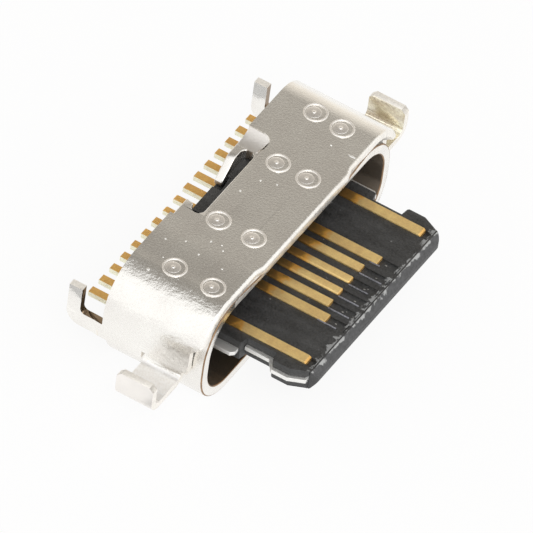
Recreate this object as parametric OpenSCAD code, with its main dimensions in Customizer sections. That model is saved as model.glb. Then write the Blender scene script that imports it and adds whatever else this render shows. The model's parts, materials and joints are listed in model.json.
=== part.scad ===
// Mid-mount usb-c socket: a welded cover over a round-cornered mouth tube, and a
// sixteen-contact tongue that stands out in front of the mouth.
// +X runs across the mouth, the mouth opens towards -Y and +Z is up.
// The origin is the middle of the flat underside of the mouth tube.

/* [Mouth tube] */
// Width of the mouth, inside
mouth_w = 8.34; // [8.2:0.01:8.6]
// Height of the mouth, inside
mouth_h = 2.56; // [2.5:0.01:2.7]
// Corner radius of the mouth, inside
mouth_r = 1.08; // [1:0.01:1.2]
// Sheet thickness of the tube
tube_wall = 0.3; // [0.2:0.01:0.35]
// Depth of the tube from mouth to rear edge
tube_depth = 2.84; // [2.7:0.01:3.4]
// Length of the slot near the rear edge of the tube
slot_len = 2.62; // [2:0.01:3]
// How far the slot lies off the middle
slot_x = 0.11; // [0:0.01:0.2]
// Width of the slot
slot_w = 0.36; // [0.3:0.01:0.5]
// Width of the web left between the slot and the rear edge
web_w = 0.23; // [0.15:0.01:0.3]
// Length of the web left standing at the slot's left end
stub_len = 0.28; // [0.2:0.01:0.4]
// Slant of the end of that stub
stub_slant = 0.12; // [0.05:0.01:0.15]
// Length of the locking finger cut from the web
finger_len = 0.7; // [0.6:0.01:0.9]
// Angle that the finger is bent down
finger_angle = 42; // [20:1:45]

/* [Cover] */
// Sheet thickness of the cover
cover_t = 0.2; // [0.15:0.01:0.25]
// Outer radius of the cover's long bends
cover_bend_r = 1.25; // [0.9:0.01:1.3]
// Gap between the cover's sides and the tube
cover_side_gap = 0.07; // [0.06:0.01:0.1]
// How far the cover sits off the middle of the tube
cover_x = 0.04; // [0:0.01:0.05]
// Height of the cover's sides above the underside
cover_side_z = 1.28; // [1.2:0.01:1.35]
// Width of the front lip of the cover
lip_w = 4.5; // [4:0.1:5]
// How far the lip stands forward
lip_out = 0.08; // [0.05:0.01:0.1]
// Height of the cover's sides in front of the hooks
side_step_z = 2.28; // [2.1:0.01:2.3]
// Length of the low stretch of the sides in front of the hooks
side_step_len = 0.32; // [0.2:0.01:0.35]
// Rise of the sloping edge over that stretch
side_step_rise = 0.32; // [0.2:0.01:0.4]
// Width of the rear notch
notch_w = 3.76; // [3.5:0.01:4]
// How far the notch lies off the middle
notch_x = 0.08; // [0:0.01:0.2]
// Depth of the rear notch
notch_depth = 0.74; // [0.65:0.01:0.76]
// Corner radius of the rear notch
notch_r = 0.3; // [0.2:0.01:0.35]
// Diameter of a weld ring
weld_d = 0.64; // [0.5:0.01:0.7]
// Height of a weld ring
weld_h = 0.02; // [0.01:0.01:0.03]
// Width of the band of a weld ring
weld_band = 0.05; // [0.03:0.01:0.08]
// Distance from the middle to the inner welds
weld_inner_x = 1.3; // [1.1:0.01:1.5]
// Distance from the cover's bend to the outer welds
weld_bend_gap = 0.1; // [0.05:0.01:0.2]
// Distance from the mouth to the front row of welds
weld_front = 0.66; // [0.5:0.01:0.8]
// Distance between the two rows of welds
weld_row_gap = 1.02; // [0.9:0.01:1.1]

/* [Hooks and legs] */
// Distance from the mouth to the front of a hook
hook_front = 0.48; // [0.45:0.01:0.7]
// Length of a hook along the side
hook_len = 1.07; // [0.9:0.01:1.2]
// Reach of a hook from the cover's side
hook_reach = 1.4; // [1.2:0.01:1.8]
// Height of the underside of a hook
hook_z = 1.12; // [1.05:0.01:1.2]
// Height of a hook from its underside to its free edge
hook_h = 0.92; // [0.8:0.01:1.2]
// Size of the cut corners of a hook's free edge
hook_corner = 0.12; // [0.05:0.01:0.2]
// Inner radius of a hook's bends
hook_bend_r = 0.2; // [0.12:0.01:0.25]
// Length of a rear leg behind the cover
leg_len = 1.16; // [1:0.01:1.3]
// Height of the underside of a leg
leg_z = 1.03; // [0.95:0.01:1.1]
// Height of a leg's arm
leg_arm_h = 0.45; // [0.35:0.01:0.5]
// Width of a leg's post
leg_post_w = 0.38; // [0.3:0.01:0.4]
// Height of a leg's post
leg_post_h = 1.25; // [1:0.01:1.4]
// Radius of a leg's outer corner
leg_corner_r = 0.4; // [0.3:0.01:0.44]
// Radius between a leg's arm and its post
leg_inner_r = 0.15; // [0.05:0.01:0.2]
// How far a leg is set in towards the middle
leg_inset = 0.24; // [0.1:0.01:0.3]
// Length over which a leg is set in
leg_bend_len = 0.28; // [0.2:0.01:0.5]
// Gap between a hook's root and the cover's side
hook_relief = 0.1; // [0.05:0.01:0.15]

/* [Tongue] */
// Thickness of the tongue over its contacts
tongue_t = 0.7; // [0.66:0.01:0.74]
// How far the tongue stands out of the mouth
tongue_out = 2.42; // [2.2:0.01:2.6]
// Plastic of the neck beyond the outermost contacts
neck_edge = 0.1; // [0.08:0.01:0.15]
// How far the head stands out beyond the neck
head_out = 0.27; // [0.2:0.01:0.3]
// How far the root of the tongue stands out beyond the neck
root_out = 0.24; // [0.2:0.01:0.3]
// Length of the wide root in front of the mouth
root_len = 0.33; // [0.25:0.01:0.4]
// Distance from the tip to the back of the head
head_len = 1.15; // [1.1:0.01:1.3]
// Width of the slanted corners of the head
head_chamfer = 0.2; // [0.15:0.01:0.25]
// Radius of the front corners of the nose
nose_corner_r = 0.22; // [0.1:0.01:0.25]
// Length of the nose piece
nose_len = 0.19; // [0.15:0.01:0.2]
// Height of the slant on the nose
nose_bevel = 0.2; // [0.1:0.01:0.22]
// Length of the level land behind the nose's slant
nose_land = 0.05; // [0.03:0.01:0.06]
// Distance from the tip to the bar across each groove
bar_setback = 0.36; // [0.3:0.01:0.4]
// Width of the bar across each groove
bar_w = 0.05; // [0.04:0.01:0.06]
// Length of the slanted corners of the head
head_chamfer_len = 0.64; // [0.5:0.01:0.7]
// Length of the slope from the head to the neck
head_slope = 0.03; // [0.02:0.01:0.1]
// Width of the small corner at the back of the head
head_corner = 0.04; // [0.02:0.01:0.06]
// Depth of the solid block behind the mouth
block_depth = 1.73; // [1.6:0.01:1.8]
// Gap between the block and the tube
block_gap = 0.02; // [0.01:0.01:0.05]
// How far the block reaches under the rear web
block_past_web = 0.07; // [0.03:0.01:0.1]
// Gap between the finger and its pocket in the block
pocket_gap = 0.04; // [0.03:0.01:0.06]

/* [Mid-plate] */
// Thickness of the steel plate in the tongue
plate_t = 0.12; // [0.1:0.01:0.15]
// How far the plate shows beyond each side of the plastic
plate_show = 0.1; // [0.05:0.01:0.12]
// How far the plate's root tabs show beyond the root of the tongue
tab_show = 0.26; // [0.2:0.01:0.3]
// Length of the slope at the back of the plate's head
plate_slope = 0.17; // [0.05:0.01:0.2]
// Width of the corner at the back of the plate's head
plate_corner = 0.05; // [0.03:0.01:0.1]
// Length of the stretch of the neck that hides the plate
tab_gap = 0.1; // [0.08:0.01:0.15]
// Corner cut of a root tab
tab_corner = 0.1; // [0.05:0.01:0.15]
// Set-back of the plate from the nose piece
plate_front_gap = 0.02; // [0.01:0.01:0.05]
// Gap between the rear of the plate and the contacts' steps
plate_rear_gap = 0.1; // [0.08:0.01:0.2]

/* [Contacts] */
// Spacing of the contacts across the tongue
contact_pitch = 0.5; // [0.48:0.01:0.52]
// Width of a signal contact
signal_w = 0.26; // [0.2:0.01:0.28]
// Width of a tail
tail_w = 0.23; // [0.2:0.01:0.27]
// Gap between the outermost tails and the inside of the tube
tail_wall_gap = 0.305; // [0.2:0.005:0.35]
// Width of a ground or power contact
power_w = 0.29; // [0.25:0.01:0.32]
// Sheet thickness of a contact
contact_t = 0.15; // [0.12:0.01:0.15]
// How far a contact stands proud of the plastic
contact_proud = 0.05; // [0.03:0.01:0.07]
// Distance from the tip to the ground contacts
ground_setback = 0.41; // [0.35:0.01:0.45]
// Distance from the tip to the power contacts
power_setback = 0.77; // [0.7:0.01:0.85]
// Distance from the tip to the signal contacts
signal_setback = 0.99; // [0.9:0.01:1.05]
// Length of the tails behind the tube
tail_out = 0.92; // [0.8:0.01:1.1]
// Height of the slant on the end of a ground contact
end_bevel = 0.05; // [0.03:0.01:0.08]
// Straight run of a contact behind the front of the block
fan_setback = 0.12; // [0.08:0.01:0.2]
// Distance from the rear of the block to the step of a contact
step_setback = 0.46; // [0.4:0.01:0.5]
// Distance from the rear of the block to the level tail
level_setback = 0.14; // [0.1:0.01:0.2]

/* [Hidden] */
$fn = 64;
cut = 0.02;

// Contact places across the tongue, and the tail that each upper or lower one
// leads to, counted from the middle of the row in whole and half pitches.
contact_index = [-5.5, -2.5, -1.5, -0.5, 0.5, 1.5, 2.5, 5.5];
upper_tail_index = [-7.5, -5.5, -2.5, -0.5, 0.5, 2.5, 5.5, 7.5];
lower_tail_index = [-6.5, -4.5, -3.5, -1.5, 1.5, 3.5, 4.5, 6.5];

mouth_y = -tube_depth / 2;
rear_y = tube_depth / 2;
tip_y = mouth_y - tongue_out;
tail_end_y = rear_y + tail_out;

tube_w = mouth_w + 2 * tube_wall;
tube_h = mouth_h + 2 * tube_wall;
mid_z = tube_h / 2;

web_y = rear_y - web_w;
slot_y = web_y - slot_w / 2;
finger_x = slot_x + slot_len / 2 - tube_wall;
finger_tip_x = finger_x - finger_len * cos(finger_angle) - tube_wall * sin(finger_angle);
finger_tip_z = mouth_h + tube_wall - finger_len * sin(finger_angle);
block_rear = web_y + block_past_web;
block_front = block_rear - block_depth;

cover_half = tube_w / 2 + cover_side_gap + cover_t;
cover_top = tube_h + cover_t;
weld_root = cover_t / 3;
notch_y = rear_y - notch_depth;
weld_outer_x = cover_half - cover_bend_r - weld_bend_gap;
weld_x = [-weld_outer_x, -weld_inner_x, weld_inner_x, weld_outer_x];
// Each weld lies a little off its place, in X and Y: the front row, then the rear
weld_scatter = [[[0.02, -0.06], [-0.02, 0.02], [-0.03, 0.01], [-0.1, 0.24]],
                [[0.02, 0.05], [-0.02, 0.03], [-0.02, -0.12], [-0.03, 0.05]]];

neck_w = 2 * (contact_index[7] * contact_pitch + power_w / 2 + neck_edge);
neck_y = tip_y + head_len;
root_y = mouth_y - root_len;
nose_y = tip_y + nose_len;
plastic_half_t = tongue_t / 2 - contact_proud;
contact_low = tongue_t / 2 - contact_t;
tail_half = contact_t / 2;
tail_pitch = (mouth_w - 2 * tail_wall_gap - tail_w) / 15;

// The bent run of a contact: it fans out first, then drops to the tail level
fan_y = block_front + fan_setback;
drop_y = block_rear - step_setback;
level_y = block_rear - level_setback;
plate_rear = drop_y - plate_rear_gap;

// Turns an outline drawn in X and Z into a bar that runs from y0 to y1
module along_y(y0, y1) {
    translate([0, y1, 0]) rotate([90, 0, 0]) linear_extrude(y1 - y0) children();
}

module both_sides() {
    children();
    mirror([1, 0, 0]) children();
}

// Outline with full-radius ends, w wide and h high, centred
module stadium(w, h) {
    square([w - h, h], center = true);
    for (s = [-1, 1]) translate([s * (w - h) / 2, 0]) circle(h / 2);
}

// Rectangle with rounded corners, centred
module rounded(w, h, r) {
    square([w - 2 * r, h], center = true);
    square([w, h - 2 * r], center = true);
    for (x = [-1, 1], y = [-1, 1]) translate([x * (w / 2 - r), y * (h / 2 - r)]) circle(r);
}

// Quarter ring from the -X side round to the -Z side of its centre
module quarter_bend(r_in, t) {
    intersection() {
        difference() {
            circle(r_in + t);
            circle(r_in);
        }
        translate([-r_in - t, -r_in - t]) square(r_in + t);
    }
}

// Flat-topped arch with round shoulders, standing on z = low
module arch(half, top, r, low) {
    intersection() {
        translate([-half, low]) square([2 * half, top - low]);
        union() {
            translate([-half, low]) square([2 * half, top - r - low]);
            translate([r - half, low]) square([2 * (half - r), top - low]);
            for (s = [-1, 1]) translate([s * (half - r), top - r]) circle(r);
        }
    }
}

// Mouth tube

// The finger in X and Z: a bend and a straight stretch with a round end, cut from the web
module finger_outline() {
    tip_r = tube_wall / 2;
    translate([finger_x, mouth_h + tube_wall]) {
        intersection() {
            circle(tube_wall);
            polygon([[0, 0], [0, 2 * tube_wall],
                     [-2 * tube_wall * sin(finger_angle), 2 * tube_wall * cos(finger_angle)]]);
        }
        rotate(finger_angle) {
            translate([tip_r - finger_len, 0]) square([finger_len - tip_r, tube_wall]);
            translate([tip_r - finger_len, tip_r]) circle(tip_r);
        }
    }
}

module inner_shell() {
    cut_left = slot_x - slot_len / 2 + stub_len;
    color("gainsboro") {
        difference() {
            along_y(mouth_y, rear_y) difference() {
                translate([0, mid_z]) rounded(tube_w, tube_h, mouth_r + tube_wall);
                translate([0, mid_z]) rounded(mouth_w, mouth_h, mouth_r);
            }
            translate([slot_x, slot_y, mid_z]) linear_extrude(tube_h) stadium(slot_len, slot_w);
            translate([0, 0, mid_z]) linear_extrude(tube_h)
                polygon([[cut_left - stub_slant, slot_y], [finger_x, slot_y],
                         [finger_x, rear_y + cut], [cut_left, rear_y + cut]]);
        }
        along_y(web_y, rear_y) finger_outline();
    }
}

// Cover

module hook_outline() {
    reach_x = cover_half + hook_reach;
    floor_z = hook_z + cover_t;
    bend_z = floor_z + hook_bend_r;
    root_x = cover_half + hook_bend_r;
    lip_x = reach_x - cover_t - hook_bend_r;
    translate([root_x, bend_z]) quarter_bend(hook_bend_r, cover_t);
    translate([root_x, hook_z]) square([lip_x - root_x, cover_t]);
    translate([lip_x, bend_z]) mirror([1, 0]) quarter_bend(hook_bend_r, cover_t);
    translate([reach_x - cover_t, bend_z]) square([cover_t, hook_z + hook_h - bend_z]);
}

// A rear leg in plan: the side sheet runs on rearwards and is set in
module leg_plan() {
    lead = cover_t * tan(atan2(leg_inset, leg_bend_len) / 2);
    bend_y = rear_y + leg_bend_len;
    inner = cover_half - cover_t;
    polygon([[inner, rear_y - cut], [cover_half, rear_y - cut], [cover_half, rear_y + lead],
             [cover_half - leg_inset, bend_y + lead], [cover_half - leg_inset, rear_y + leg_len],
             [inner - leg_inset, rear_y + leg_len], [inner - leg_inset, bend_y], [inner, rear_y]]);
}

// A leg in Y and Z, seen from the side
module leg_side() {
    end_y = rear_y + leg_len;
    post_y = end_y - leg_post_w;
    arm_top = leg_z + leg_arm_h;
    r = leg_corner_r;
    difference() {
        union() {
            translate([rear_y - cut, leg_z]) square([leg_len + cut, leg_arm_h]);
            translate([post_y, leg_z]) square([leg_post_w, leg_post_h]);
            translate([post_y - leg_inner_r, arm_top]) square(leg_inner_r);
        }
        translate([post_y - leg_inner_r, arm_top + leg_inner_r]) circle(leg_inner_r);
        difference() {
            translate([end_y - r, leg_z - cut]) square(r + cut);
            translate([end_y - r, leg_z + r]) circle(r);
        }
    }
}

module rear_leg() {
    intersection() {
        translate([0, 0, leg_z]) linear_extrude(leg_post_h) leg_plan();
        rotate([90, 0, 90]) linear_extrude(cover_half + cut) leg_side();
    }
}

// Slot in plan that opens towards +Y, with rounded front corners
module notch_plan() {
    translate([notch_x, notch_y]) {
        translate([-notch_w / 2, notch_r]) square([notch_w, notch_depth]);
        translate([notch_r - notch_w / 2, 0]) square([notch_w - 2 * notch_r, notch_depth]);
        for (s = [-1, 1]) translate([s * (notch_w / 2 - notch_r), notch_r]) circle(notch_r);
    }
}

// What is cut from the cover's sides, in Y and Z: the sloping front and the hook's opening
module side_cut() {
    step_y = mouth_y + side_step_len;
    bend_z = hook_z + cover_t + hook_bend_r;
    polygon([[mouth_y - cut, 0], [step_y, 0], [step_y, side_step_z],
             [mouth_y - cut, side_step_z + side_step_rise]]);
    translate([mouth_y, 0]) square([hook_front + hook_len + hook_relief, bend_z]);
}

// What is cut from the hooks' free edges, in Y and Z
module hook_corners() {
    top = hook_z + hook_h;
    for (y = [mouth_y + hook_front, mouth_y + hook_front + hook_len])
        translate([y, top]) rotate(45) square(hook_corner * sqrt(2), center = true);
}

module weld() {
    difference() {
        cylinder(h = weld_h + weld_root, d = weld_d);
        translate([0, 0, weld_root]) cylinder(h = weld_h + cut, d = weld_d - 2 * weld_band);
    }
}

module outer_cover() {
    color("silver") translate([cover_x, 0, 0]) {
        difference() {
            along_y(mouth_y, rear_y) difference() {
                arch(cover_half, cover_top, cover_bend_r, cover_side_z);
                arch(cover_half - cover_t, tube_h, cover_bend_r - cover_t, cover_side_z - cut);
            }
            translate([0, 0, mid_z]) linear_extrude(tube_h) notch_plan();
            both_sides() translate([cover_half - cover_bend_r, 0, 0])
                rotate([90, 0, 90]) linear_extrude(2 * cover_bend_r) side_cut();
        }
        translate([-lip_w / 2, mouth_y - lip_out, tube_h]) cube([lip_w, lip_out + cut, cover_t]);
        both_sides() {
            difference() {
                along_y(mouth_y + hook_front, mouth_y + hook_front + hook_len) hook_outline();
                translate([cover_half + hook_reach / 2, 0, 0])
                    rotate([90, 0, 90]) linear_extrude(hook_reach) hook_corners();
            }
            rear_leg();
        }
        for (row = [0, 1], i = [0 : 3]) {
            at = weld_scatter[row][i];
            y = mouth_y + weld_front + row * weld_row_gap;
            translate([weld_x[i] + at[0], y + at[1], cover_top - weld_root]) weld();
        }
    }
}

// Tongue

// Outline from the points of its +X side, the other side being its mirror image
module both_halves(side) {
    polygon(concat(side, [for (i = [len(side) - 1 : -1 : 0]) [-side[i][0], side[i][1]]]));
}

// Points of the head's side in plan, widened by extra, with a corner k and a slope at its back
function head_side(extra, k, slope) =
    let (n = neck_w / 2 + extra, h = n + head_out, r = nose_corner_r)
    concat([for (a = [90 : -15 : 0])
                [h - head_chamfer - r + r * cos(a), tip_y + r - r * sin(a)]],
           [[h, tip_y + head_chamfer_len], [h, neck_y - k], [h - k, neck_y],
            [n, neck_y + slope]]);

// The plastic of the tongue in plan
module tongue_plan() {
    n = neck_w / 2;
    both_halves(concat(head_side(0, head_corner, head_slope), [
        [n, root_y - root_out / 4], [n + root_out, root_y], [n + root_out, block_front + cut]]));
}

// The plate in plan: it shows along the head and the neck, and as a tab at each root
module plate_plan() {
    n = neck_w / 2;
    tab_x = n + root_out + tab_show;
    tab_y = root_y + tab_gap / 2;
    hide_y = tab_y - tab_gap;
    both_halves(concat(head_side(plate_show, plate_corner, plate_slope), [
        [n + plate_show, hide_y], [n - plate_show, hide_y], [n - plate_show, tab_y],
        [tab_x - tab_corner, tab_y], [tab_x, tab_y + tab_corner], [tab_x, plate_rear]]));
}

module mid_plate() {
    front = nose_y + plate_front_gap;
    color("lightsteelblue") translate([0, 0, mid_z - plate_t / 2]) linear_extrude(plate_t)
        intersection() {
            plate_plan();
            translate([-mouth_w / 2, front]) square([mouth_w, plate_rear - front]);
        }
}

// Plastic of the tongue behind the nose and the block, above and below the plate
module tongue_body() {
    translate([0, 0, mid_z - plastic_half_t]) linear_extrude(2 * plastic_half_t) difference() {
        tongue_plan();
        translate([-mouth_w / 2, tip_y - cut]) square([mouth_w, nose_len + cut]);
    }
    along_y(block_front, block_rear) translate([0, mid_z])
        rounded(mouth_w - 2 * block_gap, mouth_h - 2 * block_gap, mouth_r - block_gap);
}

module insulator(upper) {
    difference() {
        intersection() {
            tongue_body();
            translate([-mouth_w / 2, tip_y, upper ? mid_z : 0]) cube([mouth_w, 4 * tube_depth, mid_z]);
        }
        mid_plate();
        if (upper) finger_pocket();
        for (i = [0 : 7]) {
            contact(i, upper_tail_index[i], false);
            contact(i, lower_tail_index[i], true);
            pocket(i, upper);
        }
    }
}

// Pocket in the rear of the block for the bent finger
module finger_pocket() {
    x0 = finger_tip_x - pocket_gap;
    z0 = finger_tip_z - pocket_gap;
    translate([x0, web_y - pocket_gap, z0]) cube([finger_x + tube_wall - x0, web_w, tube_h - z0]);
}

// Open groove in front of a contact; a bar crosses it, apart from at the grounds
module pocket(i, upper) {
    x = contact_index[i] * contact_pitch;
    depth = contact_t - contact_proud;
    z = upper ? mid_z + plastic_half_t - depth : mid_z - plastic_half_t;
    w = blade_w(i);
    start = nose_y + plate_front_gap;
    bar = tip_y + bar_setback;
    translate([x - w / 2, start, z]) difference() {
        cube([w, front_y(i) - start, depth]);
        if (!is_ground(i)) translate([-w, bar - start, -depth]) cube([3 * w, bar_w, 3 * depth]);
    }
}

module upper_insulator() {
    color([0.17, 0.17, 0.18]) insulator(true);
}

module lower_insulator() {
    color([0.13, 0.13, 0.14]) insulator(false);
}

module tongue_nose() {
    p = plastic_half_t;
    color([0.22, 0.22, 0.23]) intersection() {
        translate([0, 0, mid_z - p]) linear_extrude(2 * p) intersection() {
            tongue_plan();
            translate([-mouth_w / 2, tip_y - cut]) square([mouth_w, nose_len + cut]);
        }
        translate([-mouth_w / 2, 0, 0]) rotate([90, 0, 90]) linear_extrude(mouth_w)
            polygon([[nose_y, mid_z - p], [nose_y, mid_z + p],
                     [nose_y - nose_land, mid_z + p], [tip_y, mid_z + p - nose_bevel],
                     [tip_y, mid_z - p + nose_bevel], [nose_y - nose_land, mid_z - p]]);
    }
}

// Contacts

function is_ground(i) = i == 0 || i == 7;
function is_power(i) = i == 1 || i == 6;
function front_y(i) =
    tip_y + (is_ground(i) ? ground_setback : is_power(i) ? power_setback : signal_setback);
function blade_w(i) = is_ground(i) || is_power(i) ? power_w : signal_w;

// Contact i of a row, leading to the tail at the given slot; flip gives the lower row
module contact(i, tail, flip) {
    x = contact_index[i] * contact_pitch;
    tx = tail * tail_pitch;
    w = blade_w(i) / 2;
    t = tail_w / 2;
    bevel = is_ground(i) ? end_bevel : 0;
    top = tongue_t / 2;
    translate([0, 0, mid_z]) mirror([0, 0, flip ? 1 : 0]) {
        // Blade, with its slanted front end
        translate([x - w, 0, 0]) rotate([90, 0, 90]) linear_extrude(2 * w)
            polygon([[front_y(i), contact_low], [fan_y, contact_low], [fan_y, top],
                     [front_y(i) + bevel, top], [front_y(i), top - bevel]]);
        // Sideways run to the tail's place
        translate([0, 0, contact_low]) linear_extrude(contact_t)
            polygon([[x - w, fan_y - cut], [x + w, fan_y - cut], [x + w, fan_y],
                     [tx + t, drop_y], [tx - t, drop_y], [x - w, fan_y]]);
        // Step to the tail's level and the tail
        translate([tx - t, 0, 0]) rotate([90, 0, 90]) linear_extrude(2 * t)
            polygon([[drop_y - cut, contact_low], [drop_y, contact_low], [level_y, -tail_half],
                     [tail_end_y, -tail_half], [tail_end_y, tail_half],
                     [level_y, tail_half], [drop_y, top], [drop_y - cut, top]]);
    }
}

module upper_contact(i) {
    color("goldenrod") contact(i, upper_tail_index[i], false);
}

module lower_contact(i) {
    color("darkgoldenrod") contact(i, lower_tail_index[i], true);
}

outer_cover();
inner_shell();
mid_plate();
upper_insulator();
lower_insulator();
tongue_nose();
for (i = [0 : 7]) {
    upper_contact(i);
    lower_contact(i);
}
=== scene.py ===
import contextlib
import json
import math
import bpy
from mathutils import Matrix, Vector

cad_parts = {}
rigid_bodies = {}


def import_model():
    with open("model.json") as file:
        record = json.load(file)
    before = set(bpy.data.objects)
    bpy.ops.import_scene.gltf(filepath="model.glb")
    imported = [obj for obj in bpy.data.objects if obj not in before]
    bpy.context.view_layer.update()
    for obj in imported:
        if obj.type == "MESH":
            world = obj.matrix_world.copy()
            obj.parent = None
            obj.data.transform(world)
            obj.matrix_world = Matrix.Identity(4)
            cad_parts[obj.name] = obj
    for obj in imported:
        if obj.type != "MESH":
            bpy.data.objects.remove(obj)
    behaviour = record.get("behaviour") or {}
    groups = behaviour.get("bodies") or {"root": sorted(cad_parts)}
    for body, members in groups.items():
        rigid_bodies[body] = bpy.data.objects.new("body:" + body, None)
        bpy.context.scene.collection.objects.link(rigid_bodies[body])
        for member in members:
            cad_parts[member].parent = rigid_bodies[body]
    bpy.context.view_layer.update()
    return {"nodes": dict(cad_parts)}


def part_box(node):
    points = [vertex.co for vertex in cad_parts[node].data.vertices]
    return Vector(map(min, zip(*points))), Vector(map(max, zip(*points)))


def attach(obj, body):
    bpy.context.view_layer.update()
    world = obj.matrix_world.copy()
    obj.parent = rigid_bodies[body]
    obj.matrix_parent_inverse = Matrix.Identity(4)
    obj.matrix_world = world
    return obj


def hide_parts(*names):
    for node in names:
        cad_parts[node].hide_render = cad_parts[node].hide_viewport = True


bl_info = {
    "name": "Mid-mount socket",
    "version": (1, 0, 0),
    "blender": (4, 5, 0),
    "location": "3D View > Sidebar > Socket",
    "description": "Dresses the packed usb-c socket and sets it on a plain table",
    "category": "Object",
}

import bmesh
import bpy
from mathutils import Matrix, Vector

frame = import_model()

MM = 0.001
BODY = "root"
# Doubled vertices lie within the first of each other, and what counts as one place within the second
MERGE = 1e-7
CLOSE = 0.01 * MM

COVER_HIGH = Vector(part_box("outer_cover")[1])
SHELL_LOW, SHELL_HIGH = (Vector(c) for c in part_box("inner_shell"))
MID_Z = (SHELL_LOW.z + SHELL_HIGH.z) / 2
# The cover's box ends at its weld rings, which stand this far above the sheet
WELD_RISE = 0.02 * MM
SHEET = 0.2 * MM
COVER_TOP = COVER_HIGH.z - WELD_RISE
MOUTH_Y = SHELL_LOW.y

# Lengths from here to the studio are in millimetres

# The cover's middle, the start of its bends from there and their radius
COVER_MIDDLE = 0.04
BEND_START = 3.49
BEND_RADIUS = 1.25
# The sheet sags a little before its left bend: how far from the bend, and how deep
SAG_WIDTH = 1.2
SAG_DEPTH = 0.08

# Where the spot welds lie, from the middle and from the mouth
WELDS = [(-3.33, 0.60), (-1.28, 0.68), (1.31, 0.67), (3.33, 0.90),
         (-3.33, 1.73), (-1.28, 1.71), (1.32, 1.56), (3.40, 1.73)]
# Half the width and the height of a weld's ring
BEAD_HALF = 0.032
BEAD_RISE = 0.028
# A weld's crown and pip: radii and heights
CROWN = [(0.215, -0.01), (0.2, 0.001), (0.17, 0.006), (0.13, 0.011), (0.08, 0.014),
         (0.045, 0.016), (0.04, 0.023), (0.028, 0.03), (0.012, 0.033)]
# How far each crown lies off the middle of its ring
CROWN_OFFSET = (-0.02, 0.04)
# Small bright dents in the cover: place and half sizes
DENTS = [(2.64, 0.20, 0.035, 0.11), (-3.75, 2.25, 0.045, 0.045), (-2.02, 1.48, 0.035, 0.03),
         (-2.59, 1.49, 0.03, 0.03), (-1.97, 1.19, 0.025, 0.025), (-2.12, 1.07, 0.025, 0.03),
         (-2.66, 0.76, 0.03, 0.03), (-2.39, 1.99, 0.03, 0.025), (-2.63, 2.44, 0.025, 0.03),
         (-3.21, 2.15, 0.025, 0.02), (0.53, 1.60, 0.03, 0.03), (0.66, 1.19, 0.025, 0.03),
         (-0.08, 1.82, 0.03, 0.03), (2.66, 0.82, 0.03, 0.03)]

ROW = ("upper", "lower")
CONTACTS = range(1, 9)

# The material slots after the first, on the cover, the tube, the nose and the contacts
# On the cover, slot index 2 paints brown shade along the edges, index 4 the shade in the legs' crooks, and
# 6 and 7 the shade inside the hooks
SHEARED, EDGE_SHADE, HOOKS, LEG_SHADE, FRONT, HOOK_SHADE_RIGHT, HOOK_SHADE_LEFT = range(1, 8)
# On the tube, slot index 1 paints the shade inside it and index 3 brown shade along its edges
TUBE_SHADED_INSIDE, TUBE_SHEARED, TUBE_EDGE_SHADE, TUBE_RIM = range(1, 5)
# On the nose, slot index 1 paints the sheen on its slant
NOSE_SHEEN = 1
# On the contacts, slot index 1 paints the highlight on the tails' cut sides
SIDE_HIGHLIGHT_GOLD, TAIL_GOLD = 1, 2

# The cover's lip: half its width, how far its roots are drawn out and its ends are drawn in
LIP_HALF = 2.25
LIP_DRAW = 0.03
LIP_PULL = 0.25
# The hooks and legs lie within this of the sides of the cover's box
HOOK_REACH = 1.4
# The roots of the rear legs' arms: where they are, and the new heights of their lower and upper ends
LEG_ROOT_OUT = 4.5
LEG_ROOT_FRONT, LEG_ROOT_BACK = 1.39, 1.5
LEG_ROOT_MIDDLE, LEG_ROOT_TOP = 1.4, 1.5
LEG_ROOT_LOW, LEG_ROOT_HIGH = 1.28, 1.74
# The stretch that the notch's front and side walls lie in
NOTCH_HALF = 2.1
NOTCH_FRONT, NOTCH_BACK = 0.6, 1.4
# The slope in the notch: sides, foot, rise, thickness, and how its front edge and its rise curve
RAMP_FRONT, RAMP_BACK, RAMP_LEFT, RAMP_RIGHT = 0.7, 1.39, 1.42, 1.98
RAMP_FOOT, RAMP_RISE, RAMP_SHEET = 3.163, 0.185, 0.02
RAMP_SWEEP, RAMP_POWER = 0.16, 1.7
# The tube's rim comes forward under the cover's lip: from what height, how far, where it fades
# and over what length, and how many cuts to a side at what spacing let it bend
RIM_PUSH_FROM = 2.9
RIM_PUSH = 0.075
RIM_PUSH_END, RIM_PUSH_FADE = 3.3, 1.4
RIM_CUTS, RIM_CUT_SPACING = 8, 0.4
# The slanted lead cut in the block for the locking finger's tip: middle, size and slope
RELIEF_MIDDLE = (0.401, 1.145, 2.776)
RELIEF_SIZE = (0.54, 0.24, 0.4)
RELIEF_SLOPE = 48.9
# The black stop under the locking finger, stretched to hide the gold there so that the place stays dark as
# painted shade: lowest and highest corner
SHADE_STOP_LOW = (0.3, 1.2, 1.9)
SHADE_STOP_HIGH = (1.9, 1.4, 2.47)
# The land between the contacts, and the new floor of the grooves before them
LAND = 1.88
GROOVE_FLOOR = 1.84
# The ends of the grooves: where their vertices are, and below what height those of the floor lie
GROOVES_HALF, GROOVES_OVER, GROOVES_UNDER = 2.4, 1.7, 1.8
GROOVES_FRONT, GROOVES_BACK = -3.64, -3.42
# How far their cross bars move forward: each edge that lies behind the first value, by the second
GROOVE_MOVES = [(-3.45, 0.13), (-3.5, 0.12)]
# The ribs are a lighter grey than the plastic: painted highlight on their edges
# The low ribs that run on from the contacts' left edges: where each starts and how long it is,
# then their common start, width, foot and top
RIBS = [(-1.38, 0.55), (-0.88, 0.62), (-0.38, 0.6), (0.12, 0.57), (0.62, 0.66), (1.12, 0.3)]
RIB_START, RIB_WIDTH, RIB_FOOT, RIB_TOP = -2.86, 0.035, 1.86, 1.905
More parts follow.
